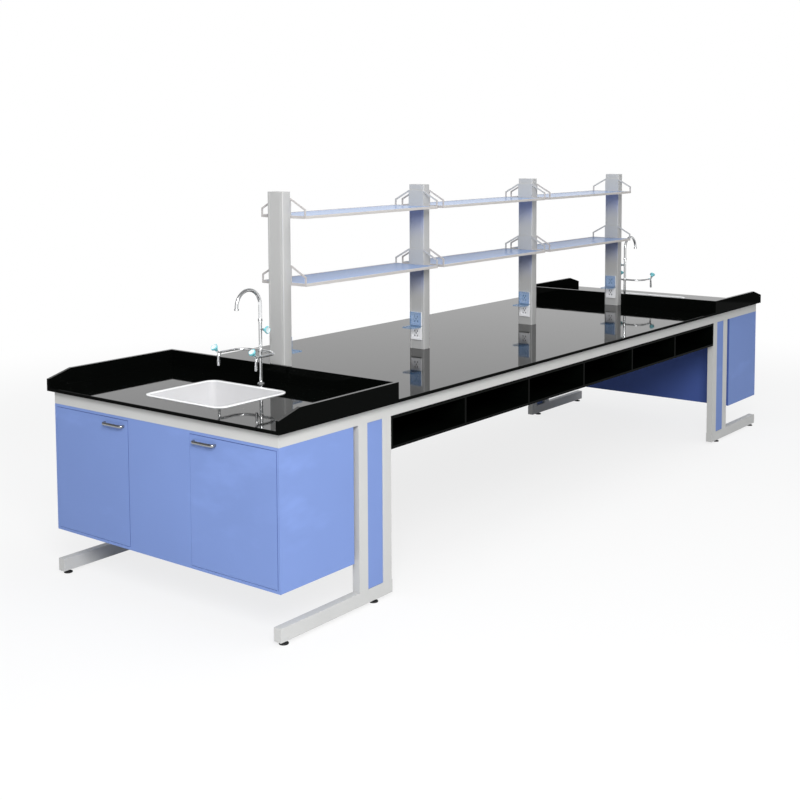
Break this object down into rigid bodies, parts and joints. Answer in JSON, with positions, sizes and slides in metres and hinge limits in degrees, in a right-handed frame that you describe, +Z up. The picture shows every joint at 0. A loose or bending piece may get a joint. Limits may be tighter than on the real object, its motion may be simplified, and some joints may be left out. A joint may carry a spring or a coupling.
{
  "type": "laboratory island bench",
  "caption": "Long island laboratory bench with a sink cabinet at each end, open compartments under a black worktop and a glass reagent shelf on posts.",
  "frame": {"origin": "on the floor under the middle of the bench", "axes": "+X along the bench towards the far sink, +Y across it to the back, +Z up"},
  "size_m": [5, 1.5, 1.815],
  "materials": {
    "frame_paint": "satin light grey",
    "cabinet_board": "blue laminate",
    "worktop": "polished black",
    "compartment_board": "black laminate",
    "sink": "glossy white",
    "chrome": "polished",
    "knob": "glossy teal",
    "post": "satin grey coating",
    "shelf_glass": "blue tinted",
    "cover": "translucent blue",
    "foot_rubber": "black"
  },
  "bodies": {
    "bench": {"end_frame_near": "frame_paint", "end_frame_far": "frame_paint", "centre_frame": "frame_paint", "worktop_near": "worktop", "worktop_far": "worktop", "worktop_centre": "worktop", "compartments_front": "compartment_board", "compartments_back": "compartment_board", "sink_near": "sink", "tap_body_near": "chrome", "cabinet_near": "cabinet_board", "leg_panel_near_front": "cabinet_board", "levelling_foot_near_front_outer": "foot_rubber", "levelling_foot_near_front_inner": "foot_rubber", "leg_panel_near_back": "cabinet_board", "levelling_foot_near_back_outer": "foot_rubber", "levelling_foot_near_back_inner": "foot_rubber", "sink_far": "sink", "tap_body_far": "chrome", "cabinet_far": "cabinet_board", "leg_panel_far_front": "cabinet_board", "levelling_foot_far_front_outer": "foot_rubber", "levelling_foot_far_front_inner": "foot_rubber", "leg_panel_far_back": "cabinet_board", "levelling_foot_far_back_outer": "foot_rubber", "levelling_foot_far_back_inner": "foot_rubber", "post_1": "post", "post_2": "post", "post_3": "post", "post_4": "post", "shelf_lower_1": "shelf_glass", "shelf_lower_2": "shelf_glass", "shelf_lower_3": "shelf_glass", "shelf_upper_1": "shelf_glass", "shelf_upper_2": "shelf_glass", "shelf_upper_3": "shelf_glass"},
    "door_near_front": {"cabinet_door_near_front": "cabinet_board", "door_handle_near_front": "chrome"},
    "door_near_back": {"cabinet_door_near_back": "cabinet_board", "door_handle_near_back": "chrome"},
    "spout_swivel_near": {"spout_near": "chrome"},
    "knob_near_main": {"tap_knob_near_main": "knob"},
    "knob_near_front": {"tap_knob_near_front": "knob"},
    "knob_near_back": {"tap_knob_near_back": "knob"},
    "door_far_front": {"cabinet_door_far_front": "cabinet_board", "door_handle_far_front": "chrome"},
    "door_far_back": {"cabinet_door_far_back": "cabinet_board", "door_handle_far_back": "chrome"},
    "spout_swivel_far": {"spout_far": "chrome"},
    "knob_far_main": {"tap_knob_far_main": "knob"},
    "knob_far_front": {"tap_knob_far_front": "knob"},
    "knob_far_back": {"tap_knob_far_back": "knob"},
    "cover_1_lower": {"socket_cover_1_lower": "cover"},
    "cover_1_upper": {"socket_cover_1_upper": "cover"},
    "cover_2_lower": {"socket_cover_2_lower": "cover"},
    "cover_2_upper": {"socket_cover_2_upper": "cover"},
    "cover_3_lower": {"socket_cover_3_lower": "cover"},
    "cover_3_upper": {"socket_cover_3_upper": "cover"},
    "cover_4_lower": {"socket_cover_4_lower": "cover"},
    "cover_4_upper": {"socket_cover_4_upper": "cover"}
  },
  "joints": [
    {"name": "door_near_front_hinge", "type": "hinge", "parent": "bench", "child": "door_near_front", "pos_m": [-2.471, -0.706, 0.523], "axis": [0, 0, 1], "range_deg": [0, 105]},
    {"name": "door_near_back_hinge", "type": "hinge", "parent": "bench", "child": "door_near_back", "pos_m": [-2.471, 0.706, 0.523], "axis": [0, 0, -1], "range_deg": [0, 105]},
    {"name": "spout_near_swivel", "type": "hinge", "parent": "bench", "child": "spout_swivel_near", "pos_m": [-1.828, 0, 1.202], "axis": [0, 0, 1], "range_deg": [-90, 90]},
    {"name": "knob_near_main_turn", "type": "hinge", "parent": "bench", "child": "knob_near_main", "pos_m": [-1.828, -0.0259, 1.165], "axis": [0, -1, 0], "range_deg": [0, 90]},
    {"name": "knob_near_front_turn", "type": "hinge", "parent": "bench", "child": "knob_near_front", "pos_m": [-1.99764, -0.124, 1.07493], "axis": [-0.6691, 0, 0.7431], "range_deg": [0, 90]},
    {"name": "knob_near_back_turn", "type": "hinge", "parent": "bench", "child": "knob_near_back", "pos_m": [-1.99764, 0.124, 1.07493], "axis": [-0.6691, 0, 0.7431], "range_deg": [0, 90]},
    {"name": "door_far_front_hinge", "type": "hinge", "parent": "bench", "child": "door_far_front", "pos_m": [2.471, -0.706, 0.523], "axis": [0, 0, -1], "range_deg": [0, 105]},
    {"name": "door_far_back_hinge", "type": "hinge", "parent": "bench", "child": "door_far_back", "pos_m": [2.471, 0.706, 0.523], "axis": [0, 0, 1], "range_deg": [0, 105]},
    {"name": "spout_far_swivel", "type": "hinge", "parent": "bench", "child": "spout_swivel_far", "pos_m": [1.864, 0, 1.202], "axis": [0, 0, 1], "range_deg": [-90, 90]},
    {"name": "knob_far_main_turn", "type": "hinge", "parent": "bench", "child": "knob_far_main", "pos_m": [1.864, 0.0259, 1.165], "axis": [0, 1, 0], "range_deg": [0, 90]},
    {"name": "knob_far_front_turn", "type": "hinge", "parent": "bench", "child": "knob_far_front", "pos_m": [2.03364, -0.124, 1.07493], "axis": [0.6691, 0, 0.7431], "range_deg": [0, 90]},
    {"name": "knob_far_back_turn", "type": "hinge", "parent": "bench", "child": "knob_far_back", "pos_m": [2.03364, 0.124, 1.07493], "axis": [0.6691, 0, 0.7431], "range_deg": [0, 90]},
    {"name": "cover_1_lower_hinge", "type": "hinge", "parent": "bench", "child": "cover_1_lower", "pos_m": [-1.6502, 0, 1.026], "axis": [0, -1, 0], "range_deg": [-90, 10]},
    {"name": "cover_1_upper_hinge", "type": "hinge", "parent": "bench", "child": "cover_1_upper", "pos_m": [-1.6502, 0, 1.106], "axis": [0, -1, 0], "range_deg": [0, 100]},
    {"name": "cover_2_lower_hinge", "type": "hinge", "parent": "bench", "child": "cover_2_lower", "pos_m": [-0.6018, 0, 1.026], "axis": [0, 1, 0], "range_deg": [-90, 10]},
    {"name": "cover_2_upper_hinge", "type": "hinge", "parent": "bench", "child": "cover_2_upper", "pos_m": [-0.6018, 0, 1.106], "axis": [0, 1, 0], "range_deg": [0, 100]},
    {"name": "cover_3_lower_hinge", "type": "hinge", "parent": "bench", "child": "cover_3_lower", "pos_m": [0.5242, 0, 1.026], "axis": [0, 1, 0], "range_deg": [-90, 10]},
    {"name": "cover_3_upper_hinge", "type": "hinge", "parent": "bench", "child": "cover_3_upper", "pos_m": [0.5242, 0, 1.106], "axis": [0, 1, 0], "range_deg": [0, 100]},
    {"name": "cover_4_lower_hinge", "type": "hinge", "parent": "bench", "child": "cover_4_lower", "pos_m": [1.6502, 0, 1.026], "axis": [0, 1, 0], "range_deg": [-90, 10]},
    {"name": "cover_4_upper_hinge", "type": "hinge", "parent": "bench", "child": "cover_4_upper", "pos_m": [1.6502, 0, 1.106], "axis": [0, 1, 0], "range_deg": [0, 100]}
  ]
}
